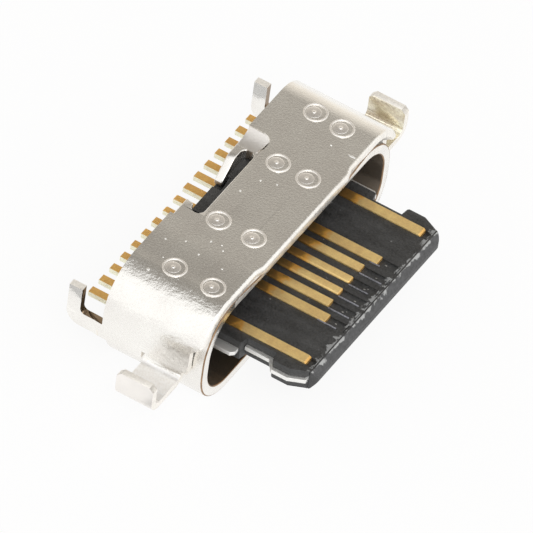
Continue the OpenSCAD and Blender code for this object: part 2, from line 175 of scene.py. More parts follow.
# Light scuffs on the floors of the grooves: place and half sizes
SCUFFS = [(-1.22, -3.30, 0.018, 0.03), (-0.77, -3.22, 0.022, 0.03), (-0.70, -3.30, 0.015, 0.02),
          (-0.27, -3.28, 0.018, 0.035), (0.23, -3.25, 0.02, 0.035), (0.29, -3.32, 0.015, 0.02),
          (0.74, -3.29, 0.018, 0.03), (1.26, -3.26, 0.022, 0.035)]
# Half the heights of the dents and the scuffs
DENT_RISE, SCUFF_RISE = 0.016, 0.01
# The stretch along the tongue over which its front is chipped ever more, as painted reflection
REFLECTION_FROM, REFLECTION_TO = -3.4, -3.66
# The stretch before the mouth's plane over which the contacts' painted shade fades
SHADE_FROM, SHADE_TO = 0.75, 0.1

# The studio: the tent's light, and the grey room's levels from the horizon to the top
TENT_LEVEL = 1.1
ROOM_EDGE = 0.15
ROOM_LEVELS = [(0.05, 1.0), (0.35, 0.8), (0.72, 0.385), (0.8, 0.3), (0.99, 0.27)]
ROOM_TINT = (1, 0.94, 0.85)
# How much of the table's light is plain white where the camera or the metal sees it
PLAIN_SHARE = 0.9
LAMP_PLACE = (-0.12, -0.1, 0.16)
LAMP_SIZE = 0.1
LAMP_WATTS = 0.1

# The photograph's view: angles in degrees, lengths in metres
PHOTO_PIXELS = 533
VIEW_AZIMUTH = -64.36
VIEW_ELEVATION = 45.88
VIEW_ROLL = 8.34
VIEW_DISTANCE = 0.4437
VIEW_PIXELS_PER_MM = 40.03
VIEW_ASIDE = 2.45 * MM
VIEW_UP = -0.964 * MM
# The camera turns about the front ends of the outer contacts
VIEW_CENTRE = Vector((0, MOUTH_Y - 2.01 * MM, MID_Z))


# Settings

class SocketShape(bpy.types.PropertyGroup):
    """Sizes of the fine edges and marks"""
    sheet_edge: bpy.props.FloatProperty(
        name="Sheet edge", description="Rounding on the stamped sheet edges",
        default=0.032 * MM, min=0.005 * MM, max=0.08 * MM, unit="LENGTH")
    front_edge: bpy.props.FloatProperty(
        name="Front edge", description="Rounding on the cover's front edge",
        default=0.11 * MM, min=0.03 * MM, max=0.12 * MM, unit="LENGTH")
    plastic_edge: bpy.props.FloatProperty(
        name="Plastic edge", description="Rounding on the moulded edges",
        default=0.03 * MM, min=0.005 * MM, max=0.05 * MM, unit="LENGTH")
    contact_edge: bpy.props.FloatProperty(
        name="Contact edge", description="Rounding on the contacts",
        default=0.045 * MM, min=0.005 * MM, max=0.05 * MM, unit="LENGTH")
    weld_ring: bpy.props.FloatProperty(
        name="Weld ring", description="Radius of the raised ring round a spot weld",
        default=0.295 * MM, min=0.29 * MM, max=0.31 * MM, unit="LENGTH")
    wrinkle: bpy.props.FloatProperty(
        name="Wrinkle", description="Depth of the wrinkles on the cover's bends",
        default=0.018 * MM, min=0, max=0.03 * MM, unit="LENGTH")


class SocketColours(bpy.types.PropertyGroup):
    """Colours of the finishes, as sRGB hex values"""
    cover: bpy.props.StringProperty(
        name="Cover", description="Satin nickel of the cover", default="F9F5F0")
    tube: bpy.props.StringProperty(
        name="Tube", description="Satin nickel of the mouth tube", default="F5F2ED")
    # Painted shade: the tube's inside is coloured darker than its nickel, for the shade that falls in it
    inside: bpy.props.StringProperty(
        name="Inside", description="Bare steel inside the tube", default="9C9184")
    sheared: bpy.props.StringProperty(
        name="Sheared", description="Rough metal where the sheet was cut", default="FBF7F0")
    # Painted shade: brown on the rounded sheet edges for the dark lines along them and in the gaps between
    # the parts
    painted_light: bpy.props.StringProperty(
        name="Worn", description="Steel that shows brown along the sheet's edges", default="957B62")
    # Painted shade: a brown tint for the shade inside the right hook
    painted_shade: bpy.props.StringProperty(
        name="Stained", description="Nickel stained inside the hooks", default="F6E4D0")
    # Painted shade: the cuts in the legs' crooks are dark brown for the shade there, with a painted brown
    # reflection of the gold tails
    shaded: bpy.props.StringProperty(
        name="Shaded", description="Tarnished cuts inside the legs", default="94806A")
    plate: bpy.props.StringProperty(
        name="Plate", description="Steel of the mid-plate", default="F6F5F2")
    plastic: bpy.props.StringProperty(
        name="Plastic", description="Black moulded plastic", default="282828")
    # Painted sheen: the nose's slant is a lighter grey for the light band it catches
    nose: bpy.props.StringProperty(
        name="Nose", description="Worn slant of the tongue's nose", default="424243")
    nose_chips: bpy.props.StringProperty(
        name="Nose chips", description="Chips along the nose's upper edge", default="A8A9A8")
    # Painted reflection: pale chips, denser towards the tongue's front, for the light that front reflects
    land_reflection_chips: bpy.props.StringProperty(
        name="Land chips", description="Chips along the tongue's front", default="8C8D8D")
    # Painted highlight: the ribs are lighter for the light their edges catch
    rub_and_highlight: bpy.props.StringProperty(
        name="Rubbed", description="Rubbed ribs before the contacts", default="6A6A70")
    scuffed: bpy.props.StringProperty(
        name="Scuffed", description="Scuffs in the grooves before the contacts", default="6E6C68")
    gold: bpy.props.StringProperty(
        name="Gold", description="Plating of the contacts", default="FFD895")
    # Painted shade and reflection on the gold: dark and brown deep in the mouth, where shade falls, orange
    # at the rim
    painted_shade_dark: bpy.props.StringProperty(
        name="Dark stain", description="Tint of the gold deepest in the mouth", default="84796A")
    painted_shade_brown: bpy.props.StringProperty(
        name="Brown stain", description="Tint of the gold inside the rim", default="B0997A")
    painted_reflection_orange: bpy.props.StringProperty(
        name="Orange stain", description="Tint of the gold at the rim", default="FFDEA0")
    # Painted highlight: the tails' cut sides are paler, for the white light they mirror
    side_highlight_colour: bpy.props.StringProperty(
        name="Pale gold", description="Thin plating on the tails' cut sides", default="FFF6DE")
    tail_gold: bpy.props.StringProperty(
        name="Tail gold", description="Darker plating on the tails", default="FFC97A")
    table: bpy.props.StringProperty(
        name="Table", description="Table top", default="F4F4F4")


def shape():
    return bpy.context.scene.socket_shape


def colours():
    return bpy.context.scene.socket_colours


# Materials

def linear(hex_colour):
    """sRGB hex value to the linear colour that a shader takes"""
    parts = [int(hex_colour[i:i + 2], 16) / 255 for i in (0, 2, 4)]
    return tuple(p / 12.92 if p <= 0.04045 else ((p + 0.055) / 1.055) ** 2.4 for p in parts) + (1,)


def add_node(tree, kind, inputs=None, **settings):
    """Adds a node, sets its properties, and sets or links its inputs"""
    node = tree.nodes.new(kind)
    for key, value in settings.items():
        setattr(node, key, value)
    for key, value in (inputs or {}).items():
        if isinstance(value, bpy.types.NodeSocket):
            tree.links.new(value, node.inputs[key])
        else:
            node.inputs[key].default_value = value
    return node


def new_material(name):
    material = bpy.data.materials.new(name)
    material.use_nodes = True
    material.node_tree.nodes.clear()
    return material, material.node_tree


def grain(tree, size_mm, stretch=(1, 1, 1), detail=3.0):
    """Noise with features size_mm across, read in object space"""
    place = add_node(tree, "ShaderNodeTexCoord")
    turned = add_node(tree, "ShaderNodeMapping", {"Vector": place.outputs["Object"], "Scale": stretch})
    noise = add_node(tree, "ShaderNodeTexNoise", {
        "Vector": turned.outputs["Vector"], "Scale": 1 / (size_mm * MM), "Detail": detail})
    return noise.outputs["Fac"]


def object_axis(tree, name):
    """The place along one axis in object space"""
    place = add_node(tree, "ShaderNodeTexCoord")
    axes = add_node(tree, "ShaderNodeSeparateXYZ", {0: place.outputs["Object"]})
    return axes.outputs[name]


def spread(tree, factor, low, high):
    """Noise values round one half, spread between two levels"""
    level = add_node(tree, "ShaderNodeMapRange", {
        "Value": factor, "From Min": 0.3, "From Max": 0.7, "To Min": low, "To Max": high})
    return level.outputs["Result"]


def shaded(tree, factor, hex_colour, low, high):
    """The colour, made darker or lighter by the factor"""
    base = linear(hex_colour)
    dark = tuple(min(1, c * low) for c in base[:3]) + (1,)
    light = tuple(min(1, c * high) for c in base[:3]) + (1,)
    level = spread(tree, factor, 0, 1)
    ramp = add_node(tree, "ShaderNodeValToRGB", {"Fac": level})
    ramp.color_ramp.elements[0].color = dark
    ramp.color_ramp.elements[1].color = light
    return ramp.outputs["Color"]


def speckled(tree, broad, fine):
    """Two noises averaged, so that a broad drift carries fine specks"""
    both = add_node(tree, "ShaderNodeMath", {0: broad, 1: fine}, operation="ADD")
    mean = add_node(tree, "ShaderNodeMath", {0: both.outputs["Value"], 1: 0.5}, operation="MULTIPLY")
    return mean.outputs["Value"]


def chipped(tree, tone, hex_colour, axis, ends, lifts, limits):
    """The tone, broken by paler chips that grow denser from one end of an axis to the other"""
    chips = grain(tree, 0.16, detail=3)
    denser = add_node(tree, "ShaderNodeMapRange", {
        "Value": object_axis(tree, axis), "From Min": ends[0], "From Max": ends[1],
        "To Min": lifts[0], "To Max": lifts[1]})
    lifted = add_node(tree, "ShaderNodeMath", {0: chips, 1: denser.outputs["Result"]}, operation="ADD")
    share = add_node(tree, "ShaderNodeMapRange", {
        "Value": lifted.outputs["Value"], "From Min": limits[0], "From Max": limits[1]})
    mixed = add_node(tree, "ShaderNodeMix", {
        0: share.outputs["Result"], 6: tone, 7: linear(hex_colour)}, data_type="RGBA")
    return mixed.outputs[2]


def bumped(tree, height, depth_mm, strength):
    return add_node(tree, "ShaderNodeBump", {
        "Height": height, "Distance": depth_mm * MM, "Strength": strength}).outputs["Normal"]


def surface(tree, inputs):
    shader = add_node(tree, "ShaderNodeBsdfPrincipled", inputs)
    add_node(tree, "ShaderNodeOutputMaterial", {"Surface": shader.outputs["BSDF"]})


def satin_nickel(name, colour, roughness, grain_mm, depth_mm):
    """Nickel plated on rolled and stamped sheet: a fine even grain that scatters the light"""
    material, tree = new_material(name)
    fine = grain(tree, grain_mm, detail=4)
    broad = grain(tree, 0.9, detail=2)
    surface(tree, {
        "Base Color": shaded(tree, broad, colour, 0.95, 1.03),
        "Metallic": 1.0,
        "Roughness": spread(tree, fine, roughness - 0.04, roughness + 0.05),
        "Normal": bumped(tree, fine, depth_mm, 0.5)})
    return material


def wrinkled_nickel(name, colour, roughness):
    """Nickel on sheet that was bent after plating: the flat has a fine grain, and the left bend
    is stretched into short wrinkles along it"""
    material, tree = new_material(name)
    fine = grain(tree, 0.05, detail=4)
    broad = grain(tree, 0.9, detail=2)
    across = add_node(tree, "ShaderNodeMath", {
        0: object_axis(tree, "X"), 1: COVER_MIDDLE * MM}, operation="SUBTRACT")
    bend = add_node(tree, "ShaderNodeMapRange", {
        "Value": across.outputs["Value"], "From Min": -(BEND_START - 0.2) * MM,
        "From Max": -(BEND_START + 0.25) * MM})
    fall = add_node(tree, "ShaderNodeMapRange", {
        "Value": across.outputs["Value"], "From Min": -(BEND_START - SAG_WIDTH) * MM,
        "From Max": -(BEND_START + 0.5) * MM, "To Min": 1.0, "To Max": 0.0},
        interpolation_type="SMOOTHSTEP")
    sagged = add_node(tree, "ShaderNodeBump", {
        "Height": fall.outputs["Result"], "Distance": SAG_DEPTH * MM})
    crease = grain(tree, 0.2, stretch=(1, 0.55, 1), detail=2)
    depth = add_node(tree, "ShaderNodeMath", {
        0: crease, 1: bend.outputs["Result"]}, operation="MULTIPLY")
    stretched = add_node(tree, "ShaderNodeBump", {
        "Height": depth.outputs["Value"], "Distance": shape().wrinkle,
        "Normal": sagged.outputs["Normal"]})
    grained = add_node(tree, "ShaderNodeBump", {
        "Height": fine, "Distance": 0.01 * MM, "Strength": 0.6, "Normal": stretched.outputs["Normal"]})
    surface(tree, {
        "Base Color": shaded(tree, speckled(tree, broad, fine), colour, 0.91, 1.08),
        "Metallic": 1.0,
        "Roughness": spread(tree, fine, roughness - 0.04, roughness + 0.05),
        "Normal": grained.outputs["Normal"]})
    return material


def streaked_hook_shade(name, colour, low):
    """Nickel inside the hooks, drawn in the bend, with brown streaks of painted shade along it"""
    material, tree = new_material(name)
    streaks = grain(tree, 0.22, stretch=(1, 0.35, 1), detail=4)
    fine = grain(tree, 0.05, detail=3)
    surface(tree, {
        "Base Color": shaded(tree, speckled(tree, streaks, fine), colour, low, 1.25),
        "Metallic": 1.0,
        "Roughness": spread(tree, streaks, 0.3, 0.48),
        "Normal": bumped(tree, streaks, 0.02, 0.6)})
    return material


def sheared_steel(name, colour):
    """The sheet's cut faces: torn and rough, so they scatter the light, with fine marks of the cut"""
    material, tree = new_material(name)
    torn = grain(tree, 0.05, stretch=(1, 1, 0.4), detail=3)
    surface(tree, {
        "Base Color": shaded(tree, torn, colour, 0.9, 1.03),
        "Metallic": 0.5,
        "Roughness": spread(tree, torn, 0.48, 0.62),
        "Normal": bumped(tree, torn, 0.004, 0.4)})
    return material


def burnished_rim(name, colour):
    """Front rims rubbed smooth by plugs: they mirror the gold before them in streaks"""
    material, tree = new_material(name)
    rub_and_highlight = grain(tree, 0.1, stretch=(1, 1, 0.4), detail=3)
    surface(tree, {
        "Base Color": shaded(tree, rub_and_highlight, colour, 0.85, 1.03),
        "Metallic": 0.6,
        "Roughness": spread(tree, rub_and_highlight, 0.25, 0.4),
        "Normal": bumped(tree, rub_and_highlight, 0.004, 0.5)})
    return material


def painted_edge_shade(name, colour):
    """Rounded sheet edges tinted brown, in patches: painted shade for the dark lines along the edges and in
    the gaps between the parts
    """
    material, tree = new_material(name)
    patches = grain(tree, 0.22, detail=3)
    surface(tree, {
        "Base Color": shaded(tree, patches, colour, 0.75, 1.5),
        "Metallic": 1.0,
        "Roughness": spread(tree, patches, 0.36, 0.5)})
    return material


def painted_sheen_polymer(name, colour, low, high):
    """The nose's slant: a grey haze painted lighter for the sheen that the slant catches, with lighter
    chips along its upper edge
    """
    material, tree = new_material(name)
    haze = grain(tree, 0.1, detail=5)
    tone = shaded(tree, haze, colour, 0.6, 1.5)
    surface(tree, {
        "Base Color": chipped(tree, tone, colours().nose_chips, "Z", (low, high), (-0.2, 0.09), (0.5, 0.6)),
        "Roughness": spread(tree, haze, 0.4, 0.6),
        "IOR": 1.6,
        "Normal": bumped(tree, haze, 0.012, 0.6)})
    return material


def filled_polymer(name, colour, roughness, front_reflection=False):
    """Glass-filled liquid crystal polymer, injection moulded: matte, with faint flow marks, and, where
    asked, pale chips along the tongue's front as painted reflection"""
    material, tree = new_material(name)
    fine = grain(tree, 0.05, detail=4)
    flow = grain(tree, 0.3, stretch=(1, 0.35, 1), detail=2)
    tone = shaded(tree, speckled(tree, flow, fine), colour, 0.1, 2.6)
    # Painted reflection: the land turns paler towards the front
    if front_reflection:
        tone = chipped(tree, tone, colours().land_reflection_chips, "Y",
                       (REFLECTION_FROM * MM, REFLECTION_TO * MM), (-0.25, 0.05), (0.47, 0.55))
    surface(tree, {
        "Base Color": tone,
        "Roughness": spread(tree, fine, roughness - 0.07, roughness + 0.08),
        "IOR": 1.6,
        "Normal": bumped(tree, fine, 0.02, 0.8)})
    return material


def hard_gold(name, colour, painted_shade=False):
    """Hard gold flashed over rolled copper alloy: matte and finely pitted, and, where asked, painted brown
    shade and orange reflection where a contact leaves the mouth"""
    material, tree = new_material(name)
    pitted = grain(tree, 0.035, stretch=(1, 0.6, 1), detail=3)
    cloud = grain(tree, 0.3, detail=2)
    tone = shaded(tree, speckled(tree, cloud, pitted), colour, 0.8, 1.12)
    # Painted shade: the gold darkens towards the inside of the mouth, through brown to orange at the rim
    if painted_shade:
        drift = add_node(tree, "ShaderNodeMath", {0: cloud, 1: 0.7 * MM, 2: object_axis(tree, "Y")},
                         operation="MULTIPLY_ADD")
        along = add_node(tree, "ShaderNodeMapRange", {
            "Value": drift.outputs["Value"],
            "From Min": MOUTH_Y + SHADE_FROM * MM, "From Max": MOUTH_Y + SHADE_TO * MM})
        painted_shade_ramp = add_node(tree, "ShaderNodeValToRGB", {"Fac": along.outputs["Result"]})
        for stop, tint in ((0.45, colours().painted_shade_brown), (0.7, colours().painted_reflection_orange)):
            painted_shade_ramp.color_ramp.elements.new(stop).color = linear(tint)
        painted_shade_ramp.color_ramp.elements[0].color = linear(colours().painted_shade_dark)
        mixed = add_node(tree, "ShaderNodeMix", {0: 1.0, 6: tone, 7: painted_shade_ramp.outputs["Color"]},
                         data_type="RGBA", blend_type="MULTIPLY")
        tone = mixed.outputs[2]
    surface(tree, {
        "Base Color": tone,
        "Metallic": 0.85,
        "Roughness": spread(tree, pitted, 0.46, 0.6),
        "Normal": bumped(tree, pitted, 0.008, 0.6)})
    return material


def table_top():
    """White card: seen by the camera and in the metal as plain white, with a faint shadow"""
    material, tree = new_material("white_card")
    card = add_node(tree, "ShaderNodeBsdfDiffuse", {"Color": linear(colours().table)})
    plain = add_node(tree, "ShaderNodeEmission", {"Color": (1, 1, 1, 1), "Strength": 1.0})
    ray = add_node(tree, "ShaderNodeLightPath")
    seen = add_node(tree, "ShaderNodeMath", {
        0: ray.outputs["Is Camera Ray"], 1: ray.outputs["Is Glossy Ray"]}, operation="MAXIMUM")
    share = add_node(tree, "ShaderNodeMath", {
        0: seen.outputs["Value"], 1: PLAIN_SHARE}, operation="MULTIPLY")
    both = add_node(tree, "ShaderNodeMixShader", {
        "Fac": share.outputs["Value"], 1: card.outputs["BSDF"], 2: plain.outputs["Emission"]})
    add_node(tree, "ShaderNodeOutputMaterial", {"Surface": both.outputs["Shader"]})
    return material


# Modelling

def deselect():
    if bpy.context.object and bpy.context.object.mode != "OBJECT":
        bpy.ops.object.mode_set(mode="OBJECT")
    bpy.ops.object.select_all(action="DESELECT")


def pick(piece):
    deselect()
    piece.select_set(True)
    bpy.context.view_layer.objects.active = piece


@contextlib.contextmanager
def edited(piece):
    """The piece's mesh, open for edits that are written back at the end"""
    mesh = bmesh.new()
    mesh.from_mesh(piece.data)
    yield mesh
    mesh.to_mesh(piece.data)
    mesh.free()


def bake_place(piece):
    pick(piece)
    bpy.ops.object.transform_apply(location=True, rotation=True, scale=True)


def dress(piece, materials):
    piece.data.materials.clear()
    for material in materials:
        piece.data.materials.append(material)
    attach(piece, BODY)


def merged_copy(node, name):
    """A copy of a CAD node whose loose triangles are merged into clean faces"""
    pick(frame["nodes"][node])
    bpy.ops.object.duplicate()
    piece = bpy.context.object
    piece.name = name
    bpy.ops.object.parent_clear(type="CLEAR_KEEP_TRANSFORM")
    bpy.ops.object.mode_set(mode="EDIT")
    bpy.ops.mesh.select_all(action="SELECT")
    bpy.ops.mesh.remove_doubles(threshold=MERGE)
    bpy.ops.mesh.dissolve_limited(angle_limit=math.radians(0.5))
    bpy.ops.object.mode_set(mode="OBJECT")
    return piece


def turned(name, place, profile):
    """A round piece: a disc extruded step by step through the profile's radii and heights, in
    millimetres"""
    deselect()
    radius, height = profile[0]
    bpy.ops.mesh.primitive_circle_add(
        vertices=48, radius=radius * MM, fill_type="NGON", location=place + Vector((0, 0, height * MM)))
    piece = bpy.context.object
    bpy.ops.object.mode_set(mode="EDIT")
    bpy.ops.mesh.select_mode(type="FACE")
    bpy.ops.mesh.select_all(action="SELECT")
    for next_radius, next_height in profile[1:]:
        bpy.ops.mesh.extrude_region()
        bpy.ops.transform.translate(value=(0, 0, (next_height - height) * MM))
        scale = next_radius / radius
        bpy.ops.transform.resize(value=(scale, scale, 1), center_override=place)
        radius, height = next_radius, next_height
    bpy.ops.mesh.select_all(action="SELECT")
    bpy.ops.mesh.normals_make_consistent(inside=False)
    bpy.ops.object.mode_set(mode="OBJECT")
    piece.name = name
    bake_place(piece)
    bpy.ops.object.shade_smooth_by_angle(angle=math.radians(60))
    return piece


def cover_height(x):
    """Height of the cover's outer face at x, in metres; the bends fall away from the flat"""
    past = min(BEND_RADIUS, max(0, abs(x / MM - COVER_MIDDLE) - BEND_START))
    return COVER_TOP - (BEND_RADIUS - math.sqrt(BEND_RADIUS ** 2 - past ** 2)) * MM


def near_weld(edge):
    """Whether an edge belongs to the low ring of a weld"""
    reach = shape().weld_ring + 0.04 * MM
    middle = (edge.verts[0].co + edge.verts[1].co) / 2
    return middle.z > COVER_TOP - 0.1 * MM and any(
        math.hypot(middle.x - x * MM, middle.y - MOUTH_Y - y * MM) < reach for x, y in WELDS)


def cut_by_shears(face):
    """Whether a face lies between two sharp edges that are one sheet's thickness apart"""
    outer = cover_normal(face.calc_center_median())
    if outer and face.normal.dot(outer) > 0.9 or face.calc_center_median().z > COVER_TOP + MERGE:
        return False
    sharp = sum(e.calc_length() for e in face.edges
                if len(e.link_faces) == 2 and e.calc_face_angle() > math.radians(50))
    return sharp > 0 and 2 * face.calc_area() / sharp < SHEET + 0.015 * MM


def faces_mouth(face):
    """Whether a face is part of the front rims"""
    return face.normal.y < -0.9 and face.calc_center_median().y < MOUTH_Y + CLOSE


def paint(piece, index, belongs):
    """Gives a material slot to the faces that belong"""
    with edited(piece) as mesh:
        for face in mesh.faces:
            if belongs(face):
                face.material_index = index


def round_edges(piece, width, belongs=None, material=-1, segments=3, sharp=25, clamp=True):
    """Rounds the sharp edges that belong, and gives the rounding a material slot"""
    with edited(piece) as mesh:
        weight = mesh.edges.layers.float.get("bevel_weight_edge")
        weight = weight or mesh.edges.layers.float.new("bevel_weight_edge")
        for edge in mesh.edges:
            corner = len(edge.link_faces) == 2 and edge.calc_face_angle() > math.radians(sharp)
            edge[weight] = 1.0 if corner and (belongs is None or belongs(edge)) else 0.0
    pick(piece)
    bevel = piece.modifiers.new("Rounding", "BEVEL")
    bevel.width = width
    bevel.segments = segments
    bevel.limit_method = "WEIGHT"
    bevel.material = material
    bevel.use_clamp_overlap = clamp
    bpy.ops.object.modifier_apply(modifier=bevel.name)


def smooth(piece, angle=35):
    """Smooth shading in which the large flat faces stay flat"""
    pick(piece)
    bpy.ops.object.shade_smooth_by_angle(angle=math.radians(angle))
    flat = piece.modifiers.new("Flat faces", "WEIGHTED_NORMAL")
    flat.weight = 100
    flat.keep_sharp = True
    bpy.ops.object.modifier_apply(modifier=flat.name)


def cover_normal(point):
    """The true normal of the cover's outer face at a point, or None away from that face"""
    across = point.x / MM - COVER_MIDDLE
    past = max(0, abs(across) - BEND_START)
    rise = (point.z - COVER_TOP) / MM + BEND_RADIUS
    if rise < 0 or abs(math.hypot(past, rise) - BEND_RADIUS) > 0.012:
        return None
    return Vector((math.copysign(past, across), 0, rise)).normalized()


def true_bends(piece):
    """Sets the shading normals of the cover's top and bends to those of the exact shape"""
    mesh = piece.data
    normals = [corner.vector.copy() for corner in mesh.corner_normals]
    for face in mesh.polygons:
        for k in face.loop_indices:
            true = cover_normal(mesh.vertices[mesh.loops[k].vertex_index].co)
            if true and face.normal.dot(true) > 0.94:
                normals[k] = true
    mesh.normals_split_custom_set(normals)


def finish_node(node, materials, width, belongs=None, material=-1, shape_first=None):
    """Stands a rounded copy in for a CAD node"""
    piece = merged_copy(node, node + "_finished")
    dress(piece, materials)
    if shape_first:
        shape_first(piece)
    round_edges(piece, width, belongs, material)
    smooth(piece)
    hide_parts(node)
    return piece


# Operators

class SOCKET_OT_cover(bpy.types.Operator):
    """Rounds the cover's sheet edges and gives it its satin nickel, rough cuts, brown edges of painted
    shade, and painted shade inside the hooks and the legs' crooks
    """
    bl_idname = "socket.cover"
    bl_label = "Cover"

    def execute(self, context):
        piece = merged_copy("outer_cover", "cover_finished")
        dress(piece, [
            wrinkled_nickel("satin_nickel_cover", colours().cover, 0.24),
            sheared_steel("sheared_steel_cover", colours().sheared),
            painted_edge_shade("painted_edge_shade_cover", colours().painted_light),
            satin_nickel("satin_nickel_hooks", colours().cover, 0.42, 0.04, 0.003),
            # The cuts in the legs' crooks: painted shade
            satin_nickel("painted_shade_leg_cut", colours().shaded, 0.3, 0.04, 0.006),
            burnished_rim("burnished_front", colours().sheared),
            # Painted shade inside the hooks and on the side above them: the right hook's copy is darker
            # than the left's
            streaked_hook_shade("painted_shade_hook_right", colours().painted_shade, 0.6),
            streaked_hook_shade("painted_shade_hook_left", colours().cover, 0.86)])
        self.draw_lip(piece)
        self.trim_legs(piece)
        paint(piece, SHEARED, cut_by_shears)
        paint(piece, FRONT, faces_mouth)
        paint(piece, HOOKS, self.on_hook)
        # The legs' crooks take the dark brown of painted shade
        paint(piece, LEG_SHADE, self.inside_leg)
        paint(piece, HOOK_SHADE_RIGHT, self.inside_hook)
        paint(piece, HOOK_SHADE_LEFT, self.hook_shade_and_left)
        round_edges(piece, shape().front_edge, self.front_top, segments=6, clamp=False)
        round_edges(piece, 4 * shape().sheet_edge, self.notch_top, segments=5)
        # The rounded sheet edges take the brown of painted shade
        round_edges(piece, shape().sheet_edge, lambda edge: not near_weld(edge), material=EDGE_SHADE)
        smooth(piece)
        true_bends(piece)
        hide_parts("outer_cover")
        return {"FINISHED"}

    def draw_lip(self, piece):
        """Draws the lip's roots out and its ends in, so that it leaves the front edge in soft kinks"""
        with edited(piece) as mesh:
            for vertex in mesh.verts:
                across = vertex.co.x / MM - COVER_MIDDLE
                at_root = abs(vertex.co.y - MOUTH_Y) < CLOSE and vertex.co.z > COVER_TOP - 1.1 * SHEET
                if at_root and abs(abs(across) - LIP_HALF) < 0.01:
                    vertex.co.x += math.copysign(LIP_DRAW * MM, across)
                elif vertex.co.y < MOUTH_Y - CLOSE and abs(abs(across) - LIP_HALF) < 0.2:
                    vertex.co.x -= math.copysign(LIP_PULL * MM, across)

    def trim_legs(self, piece):
        """Slopes the rear legs' roots, so that their lower line runs on straight into the sides"""
        roots = []
        with edited(piece) as mesh:
            for vertex in mesh.verts:
                x, y, z = vertex.co / MM
                outside = abs(x - COVER_MIDDLE) > LEG_ROOT_OUT
                if outside and LEG_ROOT_FRONT < y < LEG_ROOT_BACK and z < LEG_ROOT_TOP:
                    vertex.co.z = (LEG_ROOT_HIGH if z > LEG_ROOT_MIDDLE else LEG_ROOT_LOW) * MM
                    roots.append(vertex)
            bmesh.ops.remove_doubles(mesh, verts=roots, dist=0.001 * MM)

    def notch_top(self, edge):
        """Whether an edge is the upper edge of the notch's wall"""
        return all(abs(v.co.z - COVER_TOP) < 0.001 * MM and abs(v.co.x) < NOTCH_HALF * MM
                   and NOTCH_FRONT * MM < v.co.y < NOTCH_BACK * MM for v in edge.verts) and any(
                       abs(face.normal.z) < 0.3 for face in edge.link_faces)

    def front_top(self, edge):
        """Whether an edge is the front end of the cover's outer face"""
        on_top = all(abs(v.co.z - cover_height(v.co.x)) < 0.03 * MM and v.co.y < MOUTH_Y + CLOSE
                     for v in edge.verts)
        return on_top and any(face.normal.y < -0.9 for face in edge.link_faces)

    def on_hook(self, face):
        """Whether a face that isn't painted yet is part of a hook, a leg or the side above them"""
        out = abs(face.calc_center_median().x)
        return face.material_index == 0 and out > COVER_HIGH.x - HOOK_REACH * MM

    def inside_hook(self, face):
        """Whether a face is on the inner side of a front hook"""
        middle = face.calc_center_median()
        out = middle.x - COVER_MIDDLE * MM
        beyond = abs(out) > COVER_HIGH.x - (HOOK_REACH - 0.02) * MM
        before = middle.y < SHELL_HIGH.y - 2 * CLOSE
        inwards = face.normal.x * math.copysign(1, out) < -0.3 or face.normal.z > 0.5
        return face.material_index == HOOKS and beyond and before and inwards

    # Faces of the hooks' painted shade that lie on the left
    def hook_shade_and_left(self, face):
        return face.material_index == HOOK_SHADE_RIGHT and face.calc_center_median().x < 0

    def inside_leg(self, face):
        """Whether a face is one of the cuts in the crook of a rear leg"""
        middle = face.calc_center_median()
        behind = middle.y > SHELL_HIGH.y + 2 * CLOSE and middle.z < COVER_TOP - 1.2 * MM
        return behind and (face.normal.z > 0.3 or face.normal.y < -0.3)


class SOCKET_OT_welds(bpy.types.Operator):
    """Adds the spot welds: a raised ring, a shallow crown and a bright pip"""
    bl_idname = "socket.welds"
    bl_label = "Welds"

    def execute(self, context):
        bead_metal = satin_nickel("squeezed_nickel", colours().cover, 0.5, 0.05, 0.006)
        crown_metal = satin_nickel("weld_nickel", colours().cover, 0.36, 0.04, 0.008)
        ring = shape().weld_ring / MM
        bead = [(ring + BEAD_HALF * math.cos(a), BEAD_RISE * math.sin(a))
                for a in (math.radians(15 * k) for k in range(12))]
        for count, (x, y) in enumerate(WELDS, 1):
            place = Vector((x * MM, MOUTH_Y + y * MM, COVER_TOP))
            rim = turned("weld_ring_%d" % count, place,
                         [(ring + BEAD_HALF, -0.03)] + bead + [(ring - BEAD_HALF, -0.015)])
            crown = turned("weld_crown_%d" % count, place + Vector(CROWN_OFFSET + (0,)) * MM, CROWN)
            dress(rim, [bead_metal])
            dress(crown, [crown_metal])
        return {"FINISHED"}


class SOCKET_OT_marks(bpy.types.Operator):
    """Adds the small bright dents in the cover and the scuffs in the tongue's grooves"""
    bl_idname = "socket.marks"
    bl_label = "Marks"

    def execute(self, context):
        metal = satin_nickel("burnished_nickel", colours().plate, 0.5, 0.03, 0.003)
        for count, (x, y, half_x, half_y) in enumerate(DENTS, 1):
            self.mark("dent_%d" % count, (x * MM, MOUTH_Y + y * MM, cover_height(x * MM)),
                      (half_x, half_y, DENT_RISE), metal, "outer_cover")
        scuffed = filled_polymer("scuffed_polymer", colours().scuffed, 0.5)
        for count, (x, y, half_x, half_y) in enumerate(SCUFFS, 1):
            self.mark("scuff_%d" % count, (x * MM, y * MM, GROOVE_FLOOR * MM),
                      (half_x, half_y, SCUFF_RISE), scuffed, "upper_insulator")
        return {"FINISHED"}

    def mark(self, name, place, half, material, slot):
        """A low mound: a ball drawn out to its half sizes, in millimetres"""
        deselect()
        bpy.ops.mesh.primitive_uv_sphere_add(location=place, radius=MM, segments=24, ring_count=16)
        piece = bpy.context.object
        piece.scale = half
        piece.name = name
        bake_place(piece)
        bpy.ops.object.shade_smooth()
        dress(piece, [material])


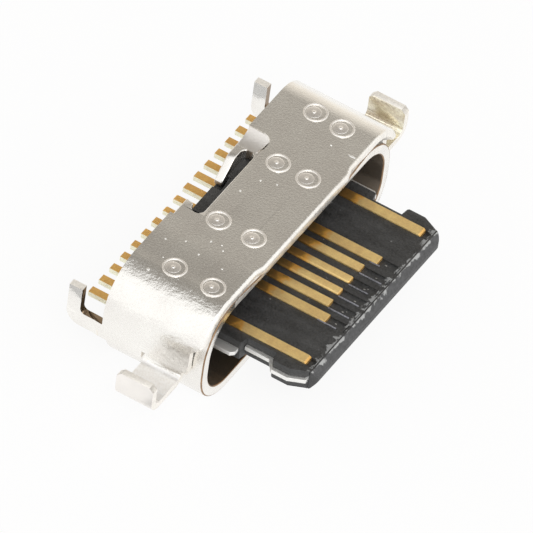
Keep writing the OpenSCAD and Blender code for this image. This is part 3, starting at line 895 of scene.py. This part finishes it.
class SOCKET_OT_tube(bpy.types.Operator):
    """Rounds the tube's rims and gives it satin nickel outside and, inside, a darker colour as painted
    shade
    """
    bl_idname = "socket.tube"
    bl_label = "Mouth tube"

    def execute(self, context):
        piece = merged_copy("inner_shell", "tube_finished")
        dress(piece, [
            satin_nickel("satin_nickel_tube", colours().tube, 0.26, 0.035, 0.006),
            # The inside gets a darker colour: painted shade
            satin_nickel("painted_shade_tube_inside", colours().inside, 0.45, 0.04, 0.01),
            sheared_steel("sheared_steel_tube", colours().sheared),
            painted_edge_shade("painted_edge_shade_tube", colours().painted_light),
            burnished_rim("burnished_rim", colours().sheared)])
        self.push_rim(piece)
        # The faces that look into the tube take the darker colour of painted shade
        paint(piece, TUBE_SHADED_INSIDE, self.inside)
        paint(piece, TUBE_SHEARED, cut_by_shears)
        paint(piece, TUBE_RIM, self.upper_rim)
        round_edges(piece, 1.4 * shape().sheet_edge, self.inner_lip, material=TUBE_SHEARED)
        # The tube's rounded front edges take the brown of painted shade
        round_edges(piece, shape().sheet_edge, lambda edge: edge.verts[0].co.y < 0, material=TUBE_EDGE_SHADE)
        round_edges(piece, 2 * shape().sheet_edge, lambda edge: edge.verts[0].co.y > 0)
        smooth(piece)
        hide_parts("inner_shell")
        return {"FINISHED"}

    def push_rim(self, piece):
        """Brings the rim's upper side forward, in line with the cover's lip"""
        with edited(piece) as mesh:
            for step in range(-RIM_CUTS, RIM_CUTS + 1):
                bmesh.ops.bisect_plane(
                    mesh, geom=mesh.verts[:] + mesh.edges[:] + mesh.faces[:], dist=MERGE,
                    plane_co=(step * RIM_CUT_SPACING * MM, 0, 0), plane_no=(1, 0, 0))
            for vertex in mesh.verts:
                if vertex.co.y < MOUTH_Y + CLOSE and vertex.co.z > RIM_PUSH_FROM * MM:
                    share = min(1, max(0, (RIM_PUSH_END - abs(vertex.co.x) / MM) / RIM_PUSH_FADE))
                    vertex.co.y -= RIM_PUSH * MM * share * share * (3 - 2 * share)

    def upper_rim(self, face):
        """Whether a face is the upper side of the front rim"""
        return faces_mouth(face) and face.calc_center_median().z > RIM_PUSH_FROM * MM

    def inner_lip(self, edge):
        """Whether an edge is the upper side of the rim's inner edge"""
        return all(v.co.y < MOUTH_Y + CLOSE and RIM_PUSH_FROM * MM < v.co.z < SHELL_HIGH.z - 0.9 * SHEET
                   for v in edge.verts)

    def inside(self, face):
        """Whether a face looks into the tube"""
        inwards = face.calc_center_median() - Vector((0, 0, MID_Z))
        inwards.y = 0
        return abs(face.normal.y) < 0.5 and face.normal.dot(inwards) < 0


class SOCKET_OT_notch_ramp(bpy.types.Operator):
    """Adds the drawn slope at the right end of the cover's notch"""
    bl_idname = "socket.notch_ramp"
    bl_label = "Notch ramp"

    def execute(self, context):
        deselect()
        bpy.ops.mesh.primitive_grid_add(x_subdivisions=12, y_subdivisions=6, size=1, location=(
            (RAMP_LEFT + RAMP_RIGHT) / 2 * MM, (RAMP_FRONT + RAMP_BACK) / 2 * MM, RAMP_FOOT * MM))
        piece = bpy.context.object
        piece.scale = ((RAMP_RIGHT - RAMP_LEFT) * MM, (RAMP_BACK - RAMP_FRONT) * MM, 1)
        piece.name = "notch_ramp"
        bake_place(piece)
        for vertex in piece.data.vertices:
            along = max(0, (vertex.co.x / MM - RAMP_LEFT) / (RAMP_RIGHT - RAMP_LEFT))
            vertex.co.z += RAMP_RISE * MM * along ** RAMP_POWER
            if vertex.co.y < (RAMP_FRONT + 0.01) * MM:
                vertex.co.y += RAMP_SWEEP * MM * (1 - along)
        thick = piece.modifiers.new("Thickness", "SOLIDIFY")
        thick.thickness = RAMP_SHEET * MM
        thick.offset = -1
        bpy.ops.object.modifier_apply(modifier=thick.name)
        metal = satin_nickel("drawn_nickel", colours().cover, 0.36, 0.05, 0.006)
        dress(piece, [metal])
        smooth(piece)
        return {"FINISHED"}


class SOCKET_OT_plate(bpy.types.Operator):
    """Finishes the steel plate that shows at the tongue's sides"""
    bl_idname = "socket.plate"
    bl_label = "Mid-plate"

    def execute(self, context):
        metal = satin_nickel("stainless_plate", colours().plate, 0.55, 0.03, 0.004)
        finish_node("mid_plate", [metal], shape().contact_edge)
        return {"FINISHED"}


class SOCKET_OT_plastic(bpy.types.Operator):
    """Finishes the moulded halves of the tongue and its nose"""
    bl_idname = "socket.plastic"
    bl_label = "Plastic"

    def execute(self, context):
        moulded = filled_polymer("black_polymer", colours().plastic, 0.5)
        # The ribs get a lighter grey: painted highlight
        rub_and_highlight = filled_polymer("rib_highlight_polymer", colours().rub_and_highlight, 0.45)
        # The land's front gets pale chips: painted reflection
        land_with_reflection = filled_polymer("painted_reflection_land", colours().plastic, 0.5, front_reflection=True)
        upper = finish_node("upper_insulator", [land_with_reflection], shape().plastic_edge, self.not_at_nose,
                            shape_first=self.run_out_grooves)
        self.relieve(upper)
        for count, (x, length) in enumerate(RIBS, 1):
            self.bar("groove_rib_%d" % count, (x - RIB_WIDTH, RIB_START - length, RIB_FOOT),
                     (x, RIB_START, RIB_TOP), 0.012, rub_and_highlight)
        # A black block that hides the gold under the finger: painted shade
        self.bar("finger_stop_shade_block", SHADE_STOP_LOW, SHADE_STOP_HIGH, 0.03, moulded)
        finish_node("lower_insulator", [moulded], shape().plastic_edge)
        low, high = (corner[2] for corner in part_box("tongue_nose"))
        # The nose's slant gets a lighter grey: painted sheen
        painted_light = painted_sheen_polymer("painted_sheen_nose", colours().nose, high - (high - low) / 5, high)
        nose = finish_node("tongue_nose", [moulded, painted_light], shape().plastic_edge, self.not_at_nose)
        paint(nose, NOSE_SHEEN, lambda face: face.normal.y < -0.3 and face.normal.z > 0.3)
        return {"FINISHED"}

    def not_at_nose(self, edge):
        """Whether an edge isn't the line where the nose meets the land"""
        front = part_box("upper_insulator")[0][1]
        return not all(abs(v.co.y - front) < CLOSE and v.co.z > LAND * MM - CLOSE for v in edge.verts)

    def run_out_grooves(self, piece):
        """Runs the grooves before the contacts out to the nose, and lifts their floors"""
        with edited(piece) as mesh:
            for vertex in mesh.verts:
                x, y, z = vertex.co / MM
                if z < GROOVES_OVER or abs(x) > GROOVES_HALF or not GROOVES_FRONT < y < GROOVES_BACK:
                    continue
                if z < GROOVES_UNDER:
                    vertex.co.z = GROOVE_FLOOR * MM
                for behind, move in GROOVE_MOVES:
                    if y > behind:
                        vertex.co.y -= move * MM
                        break

    def bar(self, name, low, high, width, material):
        """A bar between two corners with rounded edges"""
        deselect()
        low, high = Vector(low) * MM, Vector(high) * MM
        bpy.ops.mesh.primitive_cube_add(size=1, location=(low + high) / 2)
        piece = bpy.context.object
        piece.scale = high - low
        piece.name = name
        bake_place(piece)
        round_edges(piece, width * MM)
        dress(piece, [material])
        smooth(piece)

    def relieve(self, piece):
        """Cuts a slanted lead into the block beside the locking finger's tip"""
        deselect()
        bpy.ops.mesh.primitive_cube_add(size=1, location=[c * MM for c in RELIEF_MIDDLE],
                                        rotation=(0, math.radians(RELIEF_SLOPE), 0))
        cutter = bpy.context.object
        cutter.scale = [s * MM for s in RELIEF_SIZE]
        bake_place(cutter)
        pick(piece)
        cut = piece.modifiers.new("Finger relief", "BOOLEAN")
        cut.object = cutter
        cut.operation = "DIFFERENCE"
        cut.solver = "EXACT"
        bpy.ops.object.modifier_apply(modifier=cut.name)
        pick(cutter)
        bpy.ops.object.delete()


class SOCKET_OT_contacts(bpy.types.Operator):
    """Finishes the gold contacts of both rows"""
    bl_idname = "socket.contacts"
    bl_label = "Contacts"

    def execute(self, context):
        # The contacts' front parts carry painted shade towards the mouth
        metals = [hard_gold("hard_gold", colours().gold, painted_shade=True),
                  hard_gold("painted_highlight_gold", colours().side_highlight_colour),
                  hard_gold("tail_gold", colours().tail_gold)]
        for row in ROW:
            for count in CONTACTS:
                piece = finish_node("%s_contact_%d" % (row, count), metals, shape().contact_edge)
                paint(piece, TAIL_GOLD, self.tail_or_front)
                # The tails' cut sides get a paler gold: painted highlight
                paint(piece, SIDE_HIGHLIGHT_GOLD, self.cut_side)
        return {"FINISHED"}

    def tail_or_front(self, face):
        """Whether a face is part of a tail or is the contact's front end"""
        return face.calc_center_median().y > 0 or face.normal.y < -0.5

    def cut_side(self, face):
        """Whether a face is a cut side of a tail"""
        return abs(face.normal.x) > 0.6 and face.calc_center_median().y > SHELL_HIGH.y / 2


class SOCKET_OT_stage(bpy.types.Operator):
    """Adds the table, the soft lights and the camera"""
    bl_idname = "socket.stage"
    bl_label = "Stage"

    def execute(self, context):
        self.table()
        self.sky()
        self.lamp("soft_box", LAMP_PLACE, LAMP_SIZE, LAMP_WATTS)
        self.camera()
        return {"FINISHED"}

    def table(self):
        """A flat white table top under the part"""
        deselect()
        bpy.ops.mesh.primitive_grid_add(x_subdivisions=4, y_subdivisions=4, size=2)
        top = bpy.context.object
        top.name = "table_top"
        top.data.materials.append(table_top())

    def sky(self):
        """A white tent, open to a grey room at the back right"""
        world = bpy.data.worlds.new("studio")
        bpy.context.scene.world = world
        world.use_nodes = True
        tree = world.node_tree
        tree.nodes.clear()
        ray = add_node(tree, "ShaderNodeLightPath")
        way = add_node(tree, "ShaderNodeTexCoord")
        axes = add_node(tree, "ShaderNodeSeparateXYZ", {0: way.outputs["Generated"]})
        aside = add_node(tree, "ShaderNodeMath", {
            0: axes.outputs["X"], 1: axes.outputs["Y"]}, operation="ADD")
        room = add_node(tree, "ShaderNodeMapRange", {
            "Value": aside.outputs["Value"], "From Min": ROOM_EDGE, "From Max": ROOM_EDGE + 0.1})
        height = add_node(tree, "ShaderNodeValToRGB", {"Fac": axes.outputs["Z"]})
        ramp = height.color_ramp
        for place, level in ROOM_LEVELS:
            stop = ramp.elements.new(place)
            stop.color = [level * tint for tint in ROOM_TINT] + [1]
        ramp.elements.remove(ramp.elements[0])
        ramp.elements.remove(ramp.elements[-1])
        tent = add_node(tree, "ShaderNodeMix", {
            0: room.outputs["Result"], 6: [TENT_LEVEL] * 3 + [1], 7: height.outputs["Color"]},
            data_type="RGBA")
        seen = add_node(tree, "ShaderNodeMix", {
            0: ray.outputs["Is Camera Ray"], 6: tent.outputs[2], 7: (1, 1, 1, 1)}, data_type="RGBA")
        light = add_node(tree, "ShaderNodeBackground", {"Color": seen.outputs[2], "Strength": 1.0})
        add_node(tree, "ShaderNodeOutputWorld", {"Surface": light.outputs["Background"]})

    def lamp(self, name, place, size, watts):
        place = Vector(place)
        turn = (place - Vector((0, 0, MID_Z))).to_track_quat("Z", "Y").to_euler()
        bpy.ops.object.light_add(type="AREA", location=place, rotation=turn)
        lamp = bpy.context.object
        lamp.name = name
        lamp.data.shape = "SQUARE"
        lamp.data.size = size
        lamp.data.energy = watts

    def camera(self):
        """Looks at the part from where the photograph was taken"""
        around = math.radians(VIEW_AZIMUTH)
        above = math.radians(VIEW_ELEVATION)
        roll = math.radians(VIEW_ROLL)
        back = Vector((math.sin(around) * math.cos(above), -math.cos(around) * math.cos(above),
                       math.sin(above)))
        level = Vector((math.cos(around), math.sin(around), 0))
        tall = back.cross(level)
        right = level * math.cos(roll) + tall * math.sin(roll)
        up = tall * math.cos(roll) - level * math.sin(roll)
        place = VIEW_CENTRE + back * VIEW_DISTANCE - right * VIEW_ASIDE - up * VIEW_UP
        turn = Matrix((right, up, back)).transposed().to_euler()
        bpy.ops.object.camera_add(location=place, rotation=turn)
        camera = bpy.context.object
        camera.data.sensor_width = 36
        camera.data.lens = 36 * VIEW_PIXELS_PER_MM * VIEW_DISTANCE / MM / PHOTO_PIXELS
        camera.data.clip_start = 0.01
        camera.data.clip_end = 10
        bpy.context.scene.camera = camera


class SOCKET_PT_panel(bpy.types.Panel):
    """The socket's settings and the steps that make it"""
    bl_idname = "SOCKET_PT_panel"
    bl_label = "Socket"
    bl_space_type = "VIEW_3D"
    bl_region_type = "UI"
    bl_category = "Socket"

    def draw(self, context):
        layout = self.layout
        for group in (context.scene.socket_shape, context.scene.socket_colours):
            box = layout.box()
            for name in group.__annotations__:
                box.prop(group, name)
        for step in STEPS:
            layout.operator(step.bl_idname)


GROUPS = (SocketShape, SocketColours)
STEPS = (SOCKET_OT_cover, SOCKET_OT_welds, SOCKET_OT_tube, SOCKET_OT_notch_ramp, SOCKET_OT_plate,
         SOCKET_OT_plastic, SOCKET_OT_contacts, SOCKET_OT_marks, SOCKET_OT_stage)


def register():
    for cls in GROUPS + STEPS + (SOCKET_PT_panel,):
        bpy.utils.register_class(cls)
    bpy.types.Scene.socket_shape = bpy.props.PointerProperty(type=SocketShape)
    bpy.types.Scene.socket_colours = bpy.props.PointerProperty(type=SocketColours)


def unregister():
    del bpy.types.Scene.socket_colours
    del bpy.types.Scene.socket_shape
    for cls in reversed(GROUPS + STEPS + (SOCKET_PT_panel,)):
        bpy.utils.unregister_class(cls)


def main():
    register()
    scene = bpy.context.scene
    scene.view_settings.view_transform = "Standard"
    bpy.ops.socket.cover()
    bpy.ops.socket.welds()
    bpy.ops.socket.tube()
    bpy.ops.socket.notch_ramp()
    bpy.ops.socket.plate()
    bpy.ops.socket.plastic()
    bpy.ops.socket.contacts()
    bpy.ops.socket.marks()
    bpy.ops.socket.stage()


if __name__ == "__main__":
    main()
